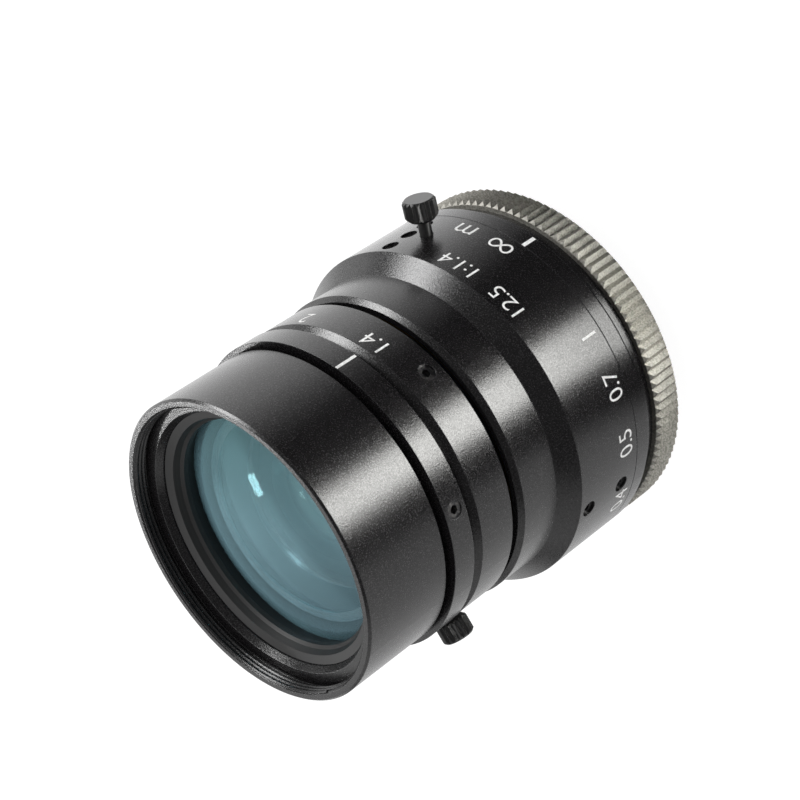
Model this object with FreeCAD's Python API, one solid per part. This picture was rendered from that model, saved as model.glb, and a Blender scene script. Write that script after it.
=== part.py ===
import FreeCAD, Part

import math
import os

# A 12.5 mm C-mount lens, standing on its camera thread. Lengths are in millimetres.
# Z runs along the optical axis towards the subject and Z = 0 is the seat of the mount.
# Azimuths are degrees anticlockwise about Z, and the focus index line lies at 90.

Vector = FreeCAD.Vector
ORIGIN = Vector(0, 0, 0)
AXIS = Vector(0, 0, 1)
EPS = 0.5  # how far a cutting tool runs past the face that it opens

# Clearances of the fits
turning_clearance = 0.05
slide_clearance = 0.05
thread_clearance = 0.1
seat_clearance = 0.05
end_gap = 0.1
pin_clearance = 0.05

# Camera side: thread boss and knurled ring
mount_thread_radius = 12.7
mount_thread_length = 4.0
mount_thread_chamfer = 0.3
mount_thread_wall = 1.3
mount_ring_thickness = 4.0
knurl_ledge = 1.0
knurl_depth = 0.55
knurl_count = 120
knurl_chamfer = 0.45
mount_web = 1.4
mount_screw_edge = 1.35
mount_screw_count = 3
mount_screw_first_azimuth = 30.0
mount_screw_radius = 0.8
mount_screw_head_radius = 1.45
mount_screw_length = 3.4
mount_screw_sink = 0.12
mount_screw_rim = 0.1
mount_screw_slot = 0.35

# Base barrel: neck, index band and the tube that the focus ring turns on
spigot_inset = 0.25
neck_inset = 1.05
neck_bead_height = 0.35
neck_groove_depth = 0.2
neck_length = 1.05
neck_bead_length = 0.45
neck_groove_length = 0.4
index_band_length = 2.3
index_band_chamfer = 0.35
floor_thickness = 1.5
tube_wall = 1.15
guide_groove_depth = 0.5
guide_groove_width = 0.8
guide_groove_height = 6.5

# Focus ring: grip cylinder, cone and front band, fastened on the threaded helicoid ring
focus_grip_wall = 2.4
focus_grip_length = 9.7
focus_cone_length = 2.0
focus_band_wall = 1.25
focus_band_length = 5.8
focus_front_chamfer = 0.55
helicoid_wall = 1.2
helicoid_step_height = 9.0
helicoid_front_setback = 0.9
helicoid_lead = 1.5
focus_travel_deg = 130.4
stop_pin_radius = 0.45
stop_pin_height = 1.0
stop_pin_azimuth = 200.0

# Screws in the focus ring: height above the ring's rear edge, and azimuth
set_screw_radius = 1.0
set_screw_length = 2.1
socket_across_flats = 0.9
socket_depth = 0.8
focus_screw_heights = (2.4, 8.15)
focus_screw_first_azimuth = 4.2
focus_spare_screw_height = 5.1
focus_spare_screw_azimuth = 124.2
guide_screw_radius = 0.35
guide_screw_first_azimuth = 64.5
screws_per_ring = 3
key_radius = 0.75
key_height = 1.8
key_azimuth = 270.0
key_slot_extra = 0.9

# Inner barrel: the tube that carries the glass and moves along Z
skirt_wall = 1.0
skirt_gap = 0.5
thread_step = 0.3
flange_height = 0.8
flange_thickness = 0.6
flange_gap = 0.2
iris_seat_wall = 1.6
iris_seat_step = 0.05
front_tube_wall = 0.7
thread_runout = 0.3
web_gap = 0.3
web_thickness = 1.6

# Iris ring, fixed index ring and front barrel
iris_ring_wall = 2.0
iris_ring_length = 6.2
iris_ring_front_chamfer = 0.95
iris_ring_rear_chamfer = 0.35
iris_hub_wall = 0.7
iris_hub_step = 0.5
iris_screw_azimuth = 74.9
iris_pin_radius = 0.5
iris_travel_deg = 91.0
index_ring_wall = 2.25
index_ring_length = 3.0
index_screw_first_azimuth = 33.2
groove_width = 0.85
front_barrel_wall = 1.6
front_chamfer = 0.25
filter_wall = 1.05
filter_bore_chamfer = 0.2
filter_thread_length = 1.4
filter_relief_width = 0.35
filter_relief_depth = 0.25
front_step_width = 0.45
front_step_cone = 0.8
front_socket_length = 3.8
front_ring_wall = 0.6
front_ring_setback = 0.19
front_ring_seat = 1.0
front_ring_height = 3.4
front_ring_face = 0.95
front_ring_face_drop = 0.35
front_ring_cone = 0.3
front_ring_cone_drop = 0.75
front_ring_lip = 0.35
front_ring_lip_drop = 0.3
front_ring_lip_land = 0.6

# Thumb screws that lock the two rings
thumb_stem_radius = 0.75
thumb_head_radius = 1.95
thumb_head_length = 2.55
thumb_head_flutes = 18
thumb_flute_depth = 0.28
thumb_outer_bevel = 0.3
thumb_inner_bevel = 0.5
focus_lock_height = 4.8
focus_lock_azimuth = 117.2
focus_lock_stand = 1.9
iris_lock_height = 3.9
iris_lock_azimuth = -37.1
iris_lock_stand = 0.25

# Iris: six blades between a pivot plate and a slotted cam ring
blade_count = 6
stop_radius = 5.6
blade_margin = 0.15
blade_edge_gap = 1.0
blade_tail_deg = 110.0
blade_head_deg = 8.0
blade_thickness = 0.1
blade_pitch = 0.14
blade_travel_deg = 24.9
pivot_inset = 3.1
pivot_radius = 0.4
first_pivot_azimuth = 11.9
blade_ear_radius = 0.9
cam_slot_margin = 0.91
drive_arm_angle = 103.0
drive_pin_radius = 0.35
drive_eye_radius = 0.6
iris_base_thickness = 0.7
cam_ring_thickness = 1.1
cam_ring_width = 5.7
cam_ring_gap = 0.15
cam_notch_depth = 1.5
cam_slot_points = 9

# Glass. Curvature radii are positive where a face bulges outwards
front_glass_radius = 15.0
front_cell_wall = 1.05
front_glass_curve = 55.0
front_glass_centre = 1.6
front_glass_rim = 3.7
front_glass_edge = 4.32
second_glass_inset = 2.6
second_glass_curve = 60.0
second_glass_centre = 1.5
second_glass_rim = 3.8
second_glass_hollow_depth = 2.8
second_ring_wall = 1.4
second_ring_length = 2.0
front_cell_nose = 0.95
front_cell_nose_wall = 4.5
front_cell_step = 0.6
third_glass_ledge = 0.5
third_glass_front_curve = 25.0
third_glass_rear_curve = 70.0
third_seat_width = 0.8
third_seat_height = 0.7
rear_cell_gap = 0.5
rear_cell_wall = 1.85
rear_flange_thickness = 1.3
doublet_inset = 1.0
doublet_rim = 1.0
doublet_front_curve = 16.0
doublet_middle_curve = 18.0
doublet_rear_curve = 16.0
flint_centre = 1.2
crown_edge = 0.98
rear_shoulder_width = 0.4
rear_shoulder_length = 5.0
fifth_glass_front_curve = 26.0
fifth_glass_rear_curve = 30.0
fifth_glass_edge = 1.21
sixth_glass_front_curve = 60.0
sixth_glass_centre = 1.4
sixth_glass_edge = 3.6
last_glass_front_curve = 24.0
last_glass_rear_curve = 60.0
last_glass_edge = 2.57
spacer_wall = 0.7
wide_spacer_length = 2.4
thin_spacer_length = 1.9
rear_ring_length = 2.0
rear_ring_wall = 1.0
contact_gap = 0.03

# Stations along Z, from the mount to the front
neck_top = mount_ring_thickness + neck_length
bead_top = neck_top + neck_bead_length
band_rear = bead_top + neck_groove_length
band_front = band_rear + index_band_length
focus_rear = band_front + end_gap
focus_cone_rear = focus_rear + focus_grip_length
focus_cone_front = focus_cone_rear + focus_cone_length
focus_front = focus_cone_front + focus_band_length
flange_rear = focus_front + flange_gap
flange_front = flange_rear + flange_thickness
iris_rear = flange_front + end_gap
iris_front = iris_rear + iris_ring_length
iris_hub_front = iris_front + iris_hub_step
index_rear = iris_hub_front + end_gap
index_front = index_rear + index_ring_length
barrel_rear = index_front + groove_width
base_floor_top = mount_ring_thickness + floor_thickness
helicoid_step = focus_rear + helicoid_step_height
helicoid_front = focus_front - helicoid_front_setback
skirt_rear = base_floor_top + skirt_gap
front_tube_front = barrel_rear + front_socket_length

# Radii of the nested tubes, from the front glass outwards and to the rear
front_cell_radius = front_glass_radius + seat_clearance + front_cell_wall
front_tube_bore = front_cell_radius + seat_clearance
front_tube_radius = front_tube_bore + front_tube_wall
index_ring_radius = front_tube_radius + index_ring_wall
front_radius = front_tube_radius + seat_clearance + front_barrel_wall
filter_bore_radius = front_radius - filter_wall
front_ring_radius = front_glass_radius + front_ring_wall
iris_seat_radius = front_tube_radius + iris_seat_step
iris_ring_bore = iris_seat_radius + turning_clearance
iris_ring_radius = iris_ring_bore + iris_ring_wall
iris_hub_radius = iris_ring_bore + iris_hub_wall
flange_radius = iris_seat_radius + flange_height
chamber_radius = iris_seat_radius - iris_seat_wall
skirt_radius = chamber_radius + skirt_wall
tube_bore = skirt_radius + slide_clearance
tube_radius = tube_bore + tube_wall
helicoid_bore = tube_radius + thread_clearance
helicoid_radius = helicoid_bore + helicoid_wall
inner_thread_radius = skirt_radius + thread_step
helicoid_front_bore = inner_thread_radius + thread_clearance
helicoid_front_radius = helicoid_front_bore + helicoid_wall
focus_rear_bore = helicoid_radius + seat_clearance
focus_front_bore = helicoid_front_radius + seat_clearance
focus_radius = focus_rear_bore + focus_grip_wall
focus_band_radius = focus_front_bore + focus_band_wall
neck_radius = focus_radius - neck_inset
neck_bead_radius = neck_radius + neck_bead_height
neck_groove_radius = neck_radius - neck_groove_depth
knurl_tip_radius = neck_radius + knurl_ledge
spigot_radius = tube_radius - spigot_inset
mount_screw_circle = spigot_radius - mount_screw_edge

# Radii inside the thread boss, and of the glass
mount_bore_radius = mount_thread_radius - mount_thread_wall
rear_cell_radius = mount_bore_radius - rear_cell_gap
rear_bore = rear_cell_radius - rear_cell_wall
rear_glass_radius = rear_bore - seat_clearance
rear_ring_bore = rear_glass_radius - rear_ring_wall
spacer_bore = rear_glass_radius - spacer_wall
doublet_radius = rear_glass_radius - doublet_inset
doublet_hollow_radius = doublet_radius - doublet_rim
rear_shoulder_bore = doublet_radius - rear_shoulder_width
front_glass_hollow_radius = front_glass_radius - front_glass_rim
second_glass_radius = front_glass_radius - second_glass_inset
second_glass_hollow_radius = second_glass_radius - second_glass_rim
second_ring_bore = second_glass_radius - second_ring_wall
front_cell_nose_bore = second_glass_radius - front_cell_nose_wall
third_glass_radius = front_cell_nose_bore + third_glass_ledge
third_seat_bore = third_glass_radius - third_seat_width

# Radii of the iris
cam_ring_radius = chamber_radius - 2 * turning_clearance
cam_ring_bore = cam_ring_radius - cam_ring_width
pivot_circle = chamber_radius - pivot_inset
blade_outer_radius = pivot_circle - blade_edge_gap
blade_inner_radius = stop_radius + blade_margin

# Drive arm: with the blades closed, its pin runs at the outer end of the cam slot
closed_arm_angle = math.radians(drive_arm_angle - blade_travel_deg)
cam_slot_reach = cam_ring_radius - cam_slot_margin
drive_arm_length = (math.sqrt(cam_slot_reach ** 2 - (pivot_circle * math.sin(closed_arm_angle)) ** 2)
                    - pivot_circle * math.cos(closed_arm_angle))

# Iris stations
iris_base_rear = flange_front
iris_base_front = iris_base_rear + iris_base_thickness
blade_stack = (blade_count - 1) * blade_pitch + blade_thickness
cam_rear = iris_base_front + blade_pitch - blade_thickness + blade_stack + cam_ring_gap
cam_front = cam_rear + cam_ring_thickness
iris_screw_z = cam_rear + cam_ring_thickness / 2
web_rear = cam_front + web_gap
web_front = web_rear + web_thickness

shapes = {}


def turned(points):
    """Solid turned about Z from a closed outline of (radius, z) points."""
    corners = [Vector(radius, 0, z) for radius, z in points]
    outline = Part.makePolygon(corners + corners[:1])
    return Part.Face(outline).revolve(ORIGIN, AXIS, 360)


def tube(inner, outer, rear, front):
    """Plain ring between two radii and two heights."""
    return turned([(inner, rear), (outer, rear), (outer, front), (inner, front)])


def at_azimuth(shape, azimuth, height=0.0):
    """Copy of a shape turned about Z and lifted."""
    placed = shape.copy()
    placed.rotate(ORIGIN, AXIS, azimuth)
    placed.translate(Vector(0, 0, height))
    return placed


def radial_pin(radius, inner, outer):
    """Round pin along X, from one distance off the axis to another."""
    return Part.makeCylinder(radius, outer - inner, Vector(inner, 0, 0), Vector(1, 0, 0))


def spread(first, count):
    """Evenly spaced azimuths round the whole ring."""
    return [first + 360.0 / count * index for index in range(count)]


def sag(curve, radius):
    """Height of a spherical cap over a circle of the given radius."""
    return curve - math.sqrt(curve * curve - radius * radius)


def hollow_curve(radius, depth):
    """Curvature radius of a hollow with the given mouth radius and depth."""
    return (radius * radius + depth * depth) / (2 * depth)


def cap_edge(vertex, curve, radius, direction):
    """Arc of a lens face from the axis to the given radius; direction is where its rim lies along Z."""
    half = math.asin(radius / curve) / 2
    middle = Vector(curve * math.sin(half), 0, vertex + direction * curve * (1 - math.cos(half)))
    rim = Vector(radius, 0, vertex + direction * sag(curve, radius))
    return Part.Arc(Vector(0, 0, vertex), middle, rim).toShape(), rim


def glass(radius, front, rear):
    """Lens element. A face is (vertex z, curve, bulges, reach); past its reach it is flat to the edge."""
    front_arc, front_rim = cap_edge(front[0], front[1], front[3], -1 if front[2] else 1)
    rear_arc, rear_rim = cap_edge(rear[0], rear[1], rear[3], 1 if rear[2] else -1)
    edges = [front_arc]
    corners = [front_rim, Vector(radius, 0, front_rim.z), Vector(radius, 0, rear_rim.z), rear_rim]
    for start, end in zip(corners, corners[1:]):
        if start.distanceToPoint(end) > 1e-6:
            edges.append(Part.makeLine(start, end))
    edges.append(rear_arc)
    edges.append(Part.makeLine(Vector(0, 0, rear[0]), Vector(0, 0, front[0])))
    outline = Part.Wire(Part.__sortEdges__(edges))
    return Part.Face(outline).revolve(ORIGIN, AXIS, 360)


def star(tip_radius, depth, count, length):
    """Straight-knurled bar along Z with V-shaped teeth."""
    corners = []
    for index in range(2 * count):
        angle = math.pi * index / count
        radius = tip_radius - depth * (index % 2)
        corners.append(Vector(radius * math.cos(angle), radius * math.sin(angle), 0))
    outline = Part.makePolygon(corners + corners[:1])
    return Part.Face(outline).extrude(Vector(0, 0, length))


def bevelled_bar(radius, length, rear_bevel, front_bevel):
    """Plain bar along Z with a bevel at each end."""
    points = [(0, 0), (radius - rear_bevel, 0), (radius, rear_bevel), (radius, length - front_bevel)]
    if front_bevel:
        points.append((radius - front_bevel, length))
    return turned(points + [(0, length)])


def set_screw(radius, length, inner):
    """Headless screw along X with a hexagon socket in its outer end."""
    body = radial_pin(radius, inner, inner + length)
    corners = []
    for index in range(7):
        angle = math.radians(60 * index)
        reach = socket_across_flats / math.sqrt(3)
        corners.append(Vector(inner + length, reach * math.cos(angle), reach * math.sin(angle)))
    socket = Part.Face(Part.makePolygon(corners)).extrude(Vector(-socket_depth, 0, 0))
    return body.cut(socket)


def thumb_screw(tip, seat, stand):
    """Knurled thumb screw along X: its tip radius, the ring's surface and the stem that shows."""
    head = star(thumb_head_radius, thumb_flute_depth, thumb_head_flutes, thumb_head_length)
    head = head.common(bevelled_bar(thumb_head_radius, thumb_head_length,
                                    thumb_inner_bevel, thumb_outer_bevel))
    head.rotate(ORIGIN, Vector(0, 1, 0), 90)
    head.translate(Vector(seat + stand, 0, 0))
    stem = radial_pin(thumb_stem_radius, tip, seat + stand + EPS)
    return head.fuse(stem).removeSplitter()


# Mount ring: knurled disc and thread boss turned from one bar
def mount_ring():
    disc = star(knurl_tip_radius, knurl_depth, knurl_count, mount_ring_thickness)
    disc = disc.common(bevelled_bar(knurl_tip_radius, mount_ring_thickness, knurl_chamfer, knurl_chamfer))
    boss = bevelled_bar(mount_thread_radius, mount_thread_length + EPS, mount_thread_chamfer, 0)
    boss.translate(Vector(0, 0, -mount_thread_length))
    ring = disc.fuse(boss).removeSplitter()
    bore = Part.makeCylinder(mount_bore_radius, mount_thread_length + mount_ring_thickness + 2 * EPS,
                             Vector(0, 0, -mount_thread_length - EPS))
    counterbore = Part.makeCylinder(spigot_radius + seat_clearance, mount_ring_thickness,
                                    Vector(0, 0, mount_web))
    holes = [countersunk_bar(mount_screw_head_radius + seat_clearance,
                             mount_screw_radius + seat_clearance, -EPS)]
    return ring.cut([bore, counterbore] + at_mount_screws(holes))


def countersunk_bar(head, shank, rear):
    """Countersunk screw along Z at the screw circle; its head starts at the given height."""
    cone_front = mount_screw_sink + head - shank + mount_screw_rim
    top = mount_screw_sink + mount_screw_length
    screw = turned([(0, rear), (head, rear), (head, mount_screw_sink + mount_screw_rim),
                    (shank, cone_front), (shank, top), (0, top)])
    screw.translate(Vector(mount_screw_circle, 0, 0))
    return screw


def at_mount_screws(pieces):
    """Copies of the given pieces at every mount screw."""
    azimuths = spread(mount_screw_first_azimuth, mount_screw_count)
    return [at_azimuth(piece, azimuth) for azimuth in azimuths for piece in pieces]


def mount_screws():
    slot = Part.makeBox(2 * mount_screw_head_radius + 2 * EPS, mount_screw_slot, mount_screw_slot)
    slot.translate(Vector(mount_screw_circle - mount_screw_head_radius - EPS, -mount_screw_slot / 2,
                          mount_screw_sink))
    screw = countersunk_bar(mount_screw_head_radius, mount_screw_radius, mount_screw_sink)
    return Part.Compound(at_mount_screws([screw.cut(slot)]))


# Base barrel: index band, neck and the tube inside the focus ring
def base_barrel():
    tube_front = helicoid_step - 2 * end_gap
    groove_rear = band_front + guide_groove_height
    groove_front = groove_rear + guide_groove_width
    groove_radius = tube_radius - guide_groove_depth
    body = turned([
        (mount_bore_radius, mount_web), (spigot_radius, mount_web), (spigot_radius, mount_ring_thickness),
        (neck_radius, mount_ring_thickness), (neck_radius, neck_top), (neck_bead_radius, neck_top),
        (neck_bead_radius, bead_top), (neck_groove_radius, bead_top), (neck_groove_radius, band_rear),
        (focus_radius - index_band_chamfer, band_rear), (focus_radius, band_rear + index_band_chamfer),
        (focus_radius, band_front), (tube_radius, band_front), (tube_radius, groove_rear),
        (groove_radius, groove_rear), (groove_radius, groove_front), (tube_radius, groove_front),
        (tube_radius, tube_front), (tube_bore, tube_front), (tube_bore, base_floor_top),
        (mount_bore_radius, base_floor_top)])
    key_hole = at_azimuth(radial_pin(key_radius, tube_bore - EPS, tube_radius + EPS),
                          key_azimuth, band_front + key_height)
    stop_hole = at_azimuth(stop_pin_solid(), stop_pin_azimuth)
    screw = countersunk_bar(mount_screw_head_radius, mount_screw_radius, mount_screw_sink)
    return body.cut([key_hole, stop_hole] + at_mount_screws([screw]))


def guide_key():
    """Pin fixed in the base tube that keeps the inner barrel from turning."""
    pin = radial_pin(key_radius, chamber_radius + 2 * end_gap, tube_radius - seat_clearance)
    return at_azimuth(pin, key_azimuth, band_front + key_height)


def stop_pin_solid():
    """Upright pin between the index band and the helicoid ring, on the X axis."""
    middle = (helicoid_bore + helicoid_radius) / 2
    depth = index_band_length / 2
    return Part.makeCylinder(stop_pin_radius, depth + end_gap + stop_pin_height,
                             Vector(middle, 0, band_front - depth))


def stop_pin():
    return at_azimuth(stop_pin_solid(), stop_pin_azimuth)


# Focus ring: the outer sleeve with its grip, cone and front band
def focus_ring():
    step = helicoid_step + end_gap
    sleeve = turned([
        (focus_rear_bore, focus_rear), (focus_radius, focus_rear), (focus_radius, focus_cone_rear),
        (focus_band_radius, focus_cone_front), (focus_band_radius, focus_front - focus_front_chamfer),
        (focus_band_radius - focus_front_chamfer, focus_front), (focus_front_bore, focus_front),
        (focus_front_bore, step), (focus_rear_bore, step)])
    drill = radial_pin(set_screw_radius, tube_radius, focus_radius + EPS)
    holes = [at_azimuth(drill, azimuth, focus_rear + height) for azimuth, height in focus_screw_places()]
    stem = radial_pin(thumb_stem_radius + turning_clearance, tube_radius, focus_radius + EPS)
    holes.append(at_azimuth(stem, focus_lock_azimuth, focus_rear + focus_lock_height))
    return sleeve.cut(holes)


def focus_screw_places():
    """Azimuth and height of every set screw in the focus ring."""
    places = [(azimuth, height) for azimuth in spread(focus_screw_first_azimuth, screws_per_ring)
              for height in focus_screw_heights]
    return places + [(focus_spare_screw_azimuth, focus_spare_screw_height)]


def focus_set_screws():
    screw = set_screw(set_screw_radius, set_screw_length, helicoid_radius)
    return Part.Compound([at_azimuth(screw, azimuth, focus_rear + height)
                          for azimuth, height in focus_screw_places()])


# Helicoid ring: the threaded ring that pushes the inner barrel forwards
def helicoid_ring():
    rear = focus_rear + end_gap
    body = turned([
        (helicoid_bore, rear), (helicoid_radius, rear), (helicoid_radius, helicoid_step),
        (helicoid_front_radius, helicoid_step), (helicoid_front_radius, helicoid_front),
        (helicoid_front_bore, helicoid_front), (helicoid_front_bore, helicoid_step),
        (helicoid_bore, helicoid_step)])
    middle = (helicoid_bore + helicoid_radius) / 2
    end_angle = math.degrees(math.asin((stop_pin_radius + pin_clearance) / middle))
    outline = Part.makePolygon([Vector(radius, 0, z) for radius, z in (
        (helicoid_bore - EPS, rear - EPS), (helicoid_radius + EPS, rear - EPS),
        (helicoid_radius + EPS, rear + stop_pin_height + end_gap),
        (helicoid_bore - EPS, rear + stop_pin_height + end_gap), (helicoid_bore - EPS, rear - EPS))])
    notch = Part.Face(outline).revolve(ORIGIN, AXIS, focus_travel_deg + 2 * end_angle)
    notch = at_azimuth(notch, stop_pin_azimuth - focus_travel_deg - end_angle)
    stem = radial_pin(thumb_stem_radius + turning_clearance, helicoid_bore - EPS, helicoid_radius + EPS)
    stem = at_azimuth(stem, focus_lock_azimuth, focus_rear + focus_lock_height)
    guide = radial_pin(guide_screw_radius, helicoid_bore - EPS, helicoid_radius + EPS)
    guides = [at_azimuth(guide, azimuth, guide_screw_z()) for azimuth in guide_screw_azimuths()]
    return body.cut([notch, stem] + guides)


def guide_screw_azimuths():
    return spread(guide_screw_first_azimuth, screws_per_ring)


def guide_screw_z():
    return band_front + guide_groove_height + guide_groove_width / 2


def guide_screws():
    """Screws under the sleeve whose tips run in the base tube's groove."""
    tip = tube_radius - guide_groove_depth + end_gap
    screw = radial_pin(guide_screw_radius, tip, helicoid_radius)
    return Part.Compound([at_azimuth(screw, azimuth, guide_screw_z()) for azimuth in guide_screw_azimuths()])


def focus_lock_screw():
    screw = thumb_screw(tube_radius + turning_clearance, focus_radius, focus_lock_stand)
    return at_azimuth(screw, focus_lock_azimuth, focus_rear + focus_lock_height)


# Inner barrel: skirt, thread, flange, iris seat, web for the third element and front tube
def inner_barrel():
    third_pocket = third_glass_radius + seat_clearance
    thread_rear = helicoid_step + thread_runout
    thread_front = helicoid_front - thread_runout
    body = turned([
        (chamber_radius, skirt_rear), (skirt_radius, skirt_rear), (skirt_radius, thread_rear),
        (inner_thread_radius, thread_rear), (inner_thread_radius, thread_front),
        (skirt_radius, thread_front), (skirt_radius, flange_rear),
        (flange_radius, flange_rear), (flange_radius, flange_front), (iris_seat_radius, flange_front),
        (iris_seat_radius, index_rear), (front_tube_radius, index_rear),
        (front_tube_radius, front_tube_front), (front_tube_bore, front_tube_front),
        (front_tube_bore, web_front), (third_pocket, web_front),
        (third_pocket, web_rear + third_seat_height), (third_seat_bore, web_rear + third_seat_height),
        (third_seat_bore, web_rear), (chamber_radius, web_rear)])
    return body.cut([key_slot(), iris_pin_slot()])


def key_slot():
    """Slot in the skirt, open at the rear, for the guide key."""
    travel = helicoid_lead * focus_travel_deg / 360
    width = 2 * (key_radius + pin_clearance)
    top = band_front + key_height + key_slot_extra
    slot = Part.makeBox(skirt_wall + 2 * EPS, width, top - skirt_rear + travel + EPS)
    slot.translate(Vector(chamber_radius - EPS, -width / 2, skirt_rear - travel - EPS))
    return at_azimuth(slot, key_azimuth)


def iris_pin_slot():
    """Slot round the iris seat for the pin that turns the cam ring."""
    reach = iris_pin_radius + pin_clearance
    end_angle = math.degrees(math.asin(reach / chamber_radius))
    inner = chamber_radius - EPS
    outer = iris_seat_radius + EPS
    corners = [(inner, iris_screw_z - reach), (outer, iris_screw_z - reach),
               (outer, iris_screw_z + reach), (inner, iris_screw_z + reach)]
    outline = Part.makePolygon([Vector(radius, 0, z) for radius, z in corners + corners[:1]])
    slot = Part.Face(outline).revolve(ORIGIN, AXIS, iris_travel_deg + 2 * end_angle)
    return at_azimuth(slot, iris_screw_azimuth - iris_travel_deg - end_angle)


# Iris ring with its drive screw and lock screw
def iris_ring():
    body = turned([
        (iris_ring_bore, iris_rear), (iris_ring_radius - iris_ring_rear_chamfer, iris_rear),
        (iris_ring_radius, iris_rear + iris_ring_rear_chamfer),
        (iris_ring_radius, iris_front - iris_ring_front_chamfer),
        (iris_ring_radius - iris_ring_front_chamfer, iris_front), (iris_hub_radius, iris_front),
        (iris_hub_radius, iris_hub_front), (iris_ring_bore, iris_hub_front)])
    drill = radial_pin(set_screw_radius, iris_ring_bore - EPS, iris_ring_radius + EPS)
    stem = radial_pin(thumb_stem_radius + turning_clearance, iris_ring_bore - EPS, iris_ring_radius + EPS)
    return body.cut([at_azimuth(drill, iris_screw_azimuth, iris_screw_z),
                     at_azimuth(stem, iris_lock_azimuth, iris_rear + iris_lock_height)])


def iris_drive_screw():
    """Set screw with a pin that reaches through the barrel's slot into the cam ring."""
    thread_inner = iris_ring_bore + turning_clearance
    length = iris_ring_radius - thread_inner - 3 * end_gap
    screw = set_screw(set_screw_radius, length, thread_inner)
    tip = radial_pin(iris_pin_radius, cam_ring_radius - cam_notch_depth + end_gap, thread_inner + EPS)
    return at_azimuth(screw.fuse(tip).removeSplitter(), iris_screw_azimuth, iris_screw_z)


def iris_lock_screw():
    screw = thumb_screw(iris_seat_radius + turning_clearance, iris_ring_radius, iris_lock_stand)
    return at_azimuth(screw, iris_lock_azimuth, iris_rear + iris_lock_height)


# Fixed index ring and its set screws
def index_screw_z():
    return index_rear + index_ring_length / 2


def iris_index_ring():
    body = tube(front_tube_radius, index_ring_radius, index_rear, index_front)
    drill = radial_pin(set_screw_radius, front_tube_radius - EPS, index_ring_radius + EPS)
    holes = [at_azimuth(drill, azimuth, index_screw_z())
             for azimuth in spread(index_screw_first_azimuth, screws_per_ring)]
    return body.cut(holes)


def index_set_screws():
    screw = set_screw(set_screw_radius, set_screw_length, front_tube_radius)
    return Part.Compound([at_azimuth(screw, azimuth, index_screw_z())
                          for azimuth in spread(index_screw_first_azimuth, screws_per_ring)])


# Front barrel with the filter thread's bore, and the ring that holds the front glass
def front_barrel():
    socket = front_tube_radius + seat_clearance
    cell_socket = front_cell_radius + seat_clearance
    ring_bore = front_ring_radius + seat_clearance
    socket_top = front_tube_front + seat_clearance
    step_z = front_ring_front() + front_ring_setback + front_step_cone
    thread_rear = step_z + filter_relief_width
    thread_front = thread_rear + filter_thread_length
    barrel_front = thread_front + filter_bore_chamfer
    return turned([
        (socket, barrel_rear), (front_radius, barrel_rear), (front_radius, barrel_front - front_chamfer),
        (front_radius - front_chamfer, barrel_front),
        (filter_bore_radius + filter_bore_chamfer, barrel_front),
        (filter_bore_radius, thread_front), (filter_bore_radius, thread_rear),
        (filter_bore_radius + filter_relief_depth, thread_rear),
        (filter_bore_radius + filter_relief_depth, step_z), (ring_bore + front_step_width, step_z),
        (ring_bore, step_z - front_step_cone), (ring_bore, cell_front() + end_gap),
        (cell_socket, cell_front() + end_gap), (cell_socket, socket_top), (socket, socket_top)])


def front_glass_rear():
    """Height of the front element's flat rear rim, seated in the cell."""
    return second_ring_rear() + second_ring_length + front_cell_step


def front_vertex():
    return front_glass_rear() + front_glass_edge + sag(front_glass_curve, front_glass_radius)


def cell_front():
    return front_glass_rear() + front_glass_edge + end_gap


def front_ring_front():
    """The ring bears on the front element's rim."""
    seat = front_ring_radius - front_ring_seat
    return front_vertex() - sag(front_glass_curve, seat) + contact_gap + front_ring_height


def front_retaining_ring():
    outer = front_ring_radius
    seat = outer - front_ring_seat
    front = front_ring_front()
    rear = front - front_ring_height
    face = outer - front_ring_face
    cone = face - front_ring_cone
    lip = cone - front_ring_lip
    face_z = front - front_ring_face_drop
    cone_z = face_z - front_ring_cone_drop
    lip_z = cone_z - front_ring_lip_drop
    return turned([
        (seat, rear), (outer, rear), (outer, front), (face, face_z), (cone, cone_z), (lip, lip_z),
        (lip, lip_z - front_ring_lip_land)])


def front_element():
    vertex = front_vertex()
    rear_vertex = vertex - front_glass_centre
    depth = rear_vertex - front_glass_rear()
    curve = hollow_curve(front_glass_hollow_radius, depth)
    return glass(front_glass_radius, (vertex, front_glass_curve, True, front_glass_radius),
                 (rear_vertex, curve, False, front_glass_hollow_radius))


# Front cell with the first two elements, and the third element in the web
def front_cell():
    rear = web_front + seat_clearance
    second_pocket = second_glass_radius + seat_clearance
    first_pocket = front_glass_radius + seat_clearance
    return turned([
        (front_cell_nose_bore, rear), (front_cell_radius, rear), (front_cell_radius, cell_front()),
        (first_pocket, cell_front()), (first_pocket, front_glass_rear()), (second_pocket, front_glass_rear()),
        (second_pocket, rear + front_cell_nose), (front_cell_nose_bore, rear + front_cell_nose)])


def second_vertex():
    return web_front + seat_clearance + front_cell_nose + second_glass_hollow_depth + second_glass_centre


def second_element():
    curve = hollow_curve(second_glass_hollow_radius, second_glass_hollow_depth)
    return glass(second_glass_radius, (second_vertex(), second_glass_curve, True, second_glass_radius),
                 (second_vertex() - second_glass_centre, curve, False, second_glass_hollow_radius))


def second_ring_rear():
    return second_vertex() - sag(second_glass_curve, second_ring_bore) + contact_gap


def second_element_ring():
    rear = second_ring_rear()
    return tube(second_ring_bore, second_glass_radius, rear, rear + second_ring_length)


def third_rear_vertex():
    """The third element rests on the web's seat."""
    return web_rear + third_seat_height - sag(third_glass_rear_curve, third_seat_bore) + contact_gap


def third_element():
    """The front cell's nose holds the element down at the nose's bore."""
    front = web_front + seat_clearance - contact_gap + sag(third_glass_front_curve, front_cell_nose_bore)
    return glass(third_glass_radius, (front, third_glass_front_curve, True, third_glass_radius),
                 (third_rear_vertex(), third_glass_rear_curve, True, third_glass_radius))


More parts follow.
